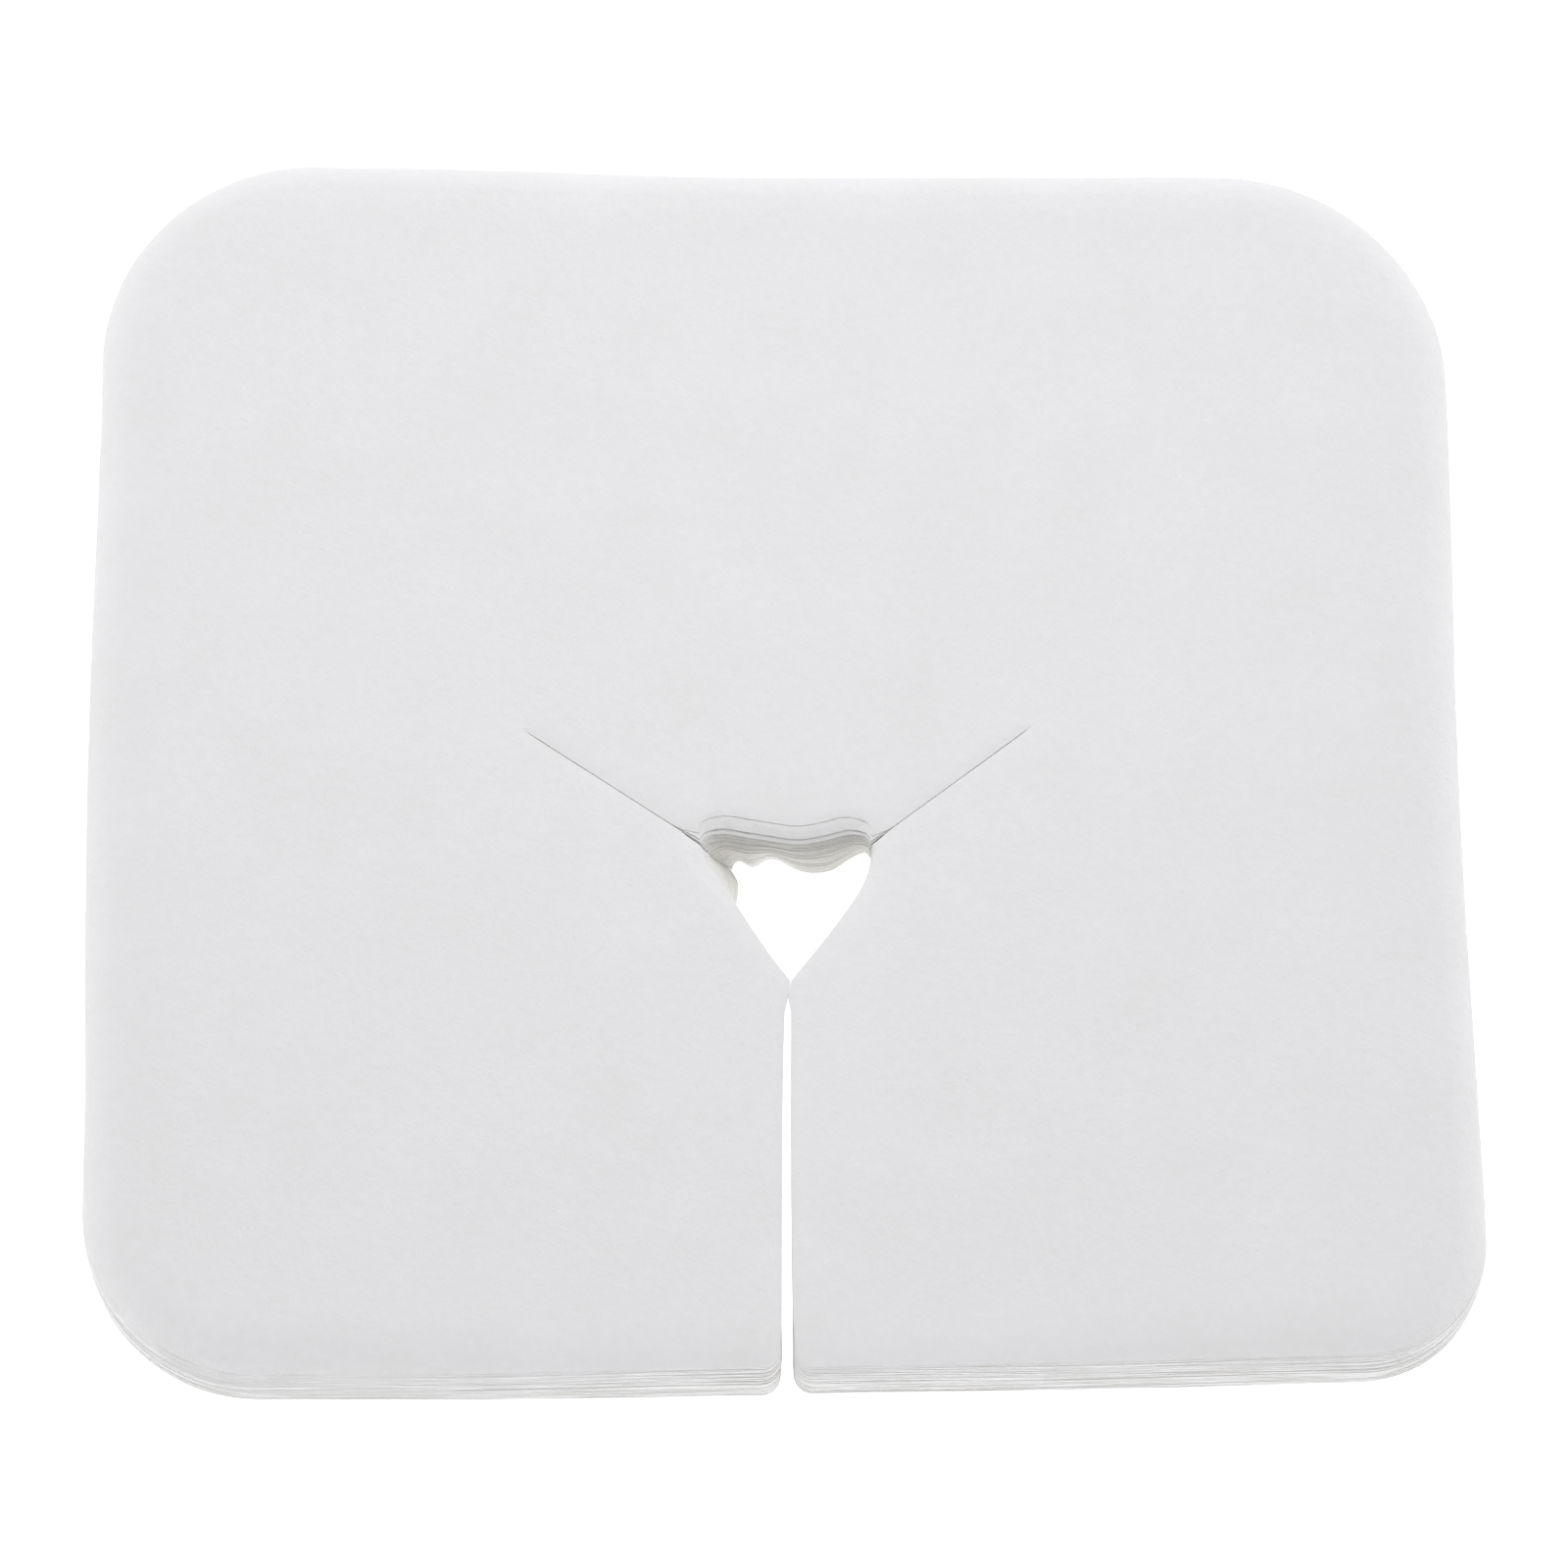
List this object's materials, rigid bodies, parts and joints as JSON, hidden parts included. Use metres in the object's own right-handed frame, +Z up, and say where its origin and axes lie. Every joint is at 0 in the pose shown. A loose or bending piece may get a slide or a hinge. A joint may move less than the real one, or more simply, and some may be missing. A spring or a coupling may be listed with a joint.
{
  "type": "face cradle covers",
  "caption": "Neat pile of flat disposable face cradle covers, each with a Y-shaped slit and a small breathing opening for the face, for a massage table's face rest.",
  "frame": {"origin": "middle of the pile's base, on the surface it lies on", "axes": "+X to the right across the pile, +Y towards the brow end, +Z up; left and right are as seen from above with the brow end away from the viewer"},
  "size_m": [0.33, 0.305, 0.025],
  "materials": {
    "nonwoven": "soft matt white nonwoven"
  },
  "bodies": {
    "pile": {"cover_01": "nonwoven", "cover_02": "nonwoven", "cover_03": "nonwoven", "cover_04": "nonwoven", "cover_05": "nonwoven", "cover_06": "nonwoven", "cover_07": "nonwoven", "cover_08": "nonwoven", "cover_09": "nonwoven", "cover_10": "nonwoven", "cover_11": "nonwoven", "cover_12": "nonwoven", "cover_13": "nonwoven", "cover_14": "nonwoven", "cover_15": "nonwoven", "cover_16": "nonwoven", "cover_17": "nonwoven", "cover_18": "nonwoven", "cover_19": "nonwoven", "cover_20": "nonwoven", "cover_21": "nonwoven", "cover_22": "nonwoven", "cover_23": "nonwoven", "cover_24": "nonwoven", "cover_25": "nonwoven", "cover_26": "nonwoven", "cover_27": "nonwoven", "cover_28": "nonwoven", "cover_29": "nonwoven", "cover_30": "nonwoven", "cover_31": "nonwoven", "cover_32": "nonwoven", "cover_33": "nonwoven", "cover_34": "nonwoven", "cover_35": "nonwoven", "cover_36": "nonwoven", "cover_37": "nonwoven", "cover_38": "nonwoven", "cover_39": "nonwoven", "cover_40": "nonwoven", "cover_41": "nonwoven", "cover_42": "nonwoven", "cover_43": "nonwoven", "cover_44": "nonwoven", "cover_45": "nonwoven", "cover_46": "nonwoven", "cover_47": "nonwoven", "cover_48": "nonwoven", "cover_49": "nonwoven"},
    "top_cover": {"top_cover_panel": "nonwoven"},
    "brow_flap": {"top_cover_brow_flap": "nonwoven"},
    "left_flap": {"top_cover_left_flap": "nonwoven"},
    "right_flap": {"top_cover_right_flap": "nonwoven"}
  },
  "joints": [
    {"name": "top_cover_lift", "type": "slide", "parent": "pile", "child": "top_cover", "axis": [0, 0, 1], "range_m": [0, 0.12]},
    {"name": "brow_flap_fold", "type": "hinge", "parent": "top_cover", "child": "brow_flap", "pos_m": [0, 0.0075, 0.02496], "axis": [-1, 0, 0], "range_deg": [0, 165]},
    {"name": "left_flap_fold", "type": "hinge", "parent": "top_cover", "child": "left_flap", "pos_m": [-0.0615, -0.072, 0.02496], "axis": [0, -1, 0], "range_deg": [0, 165]},
    {"name": "right_flap_fold", "type": "hinge", "parent": "top_cover", "child": "right_flap", "pos_m": [0.0615, -0.072, 0.02496], "axis": [0, 1, 0], "range_deg": [0, 165]}
  ]
}
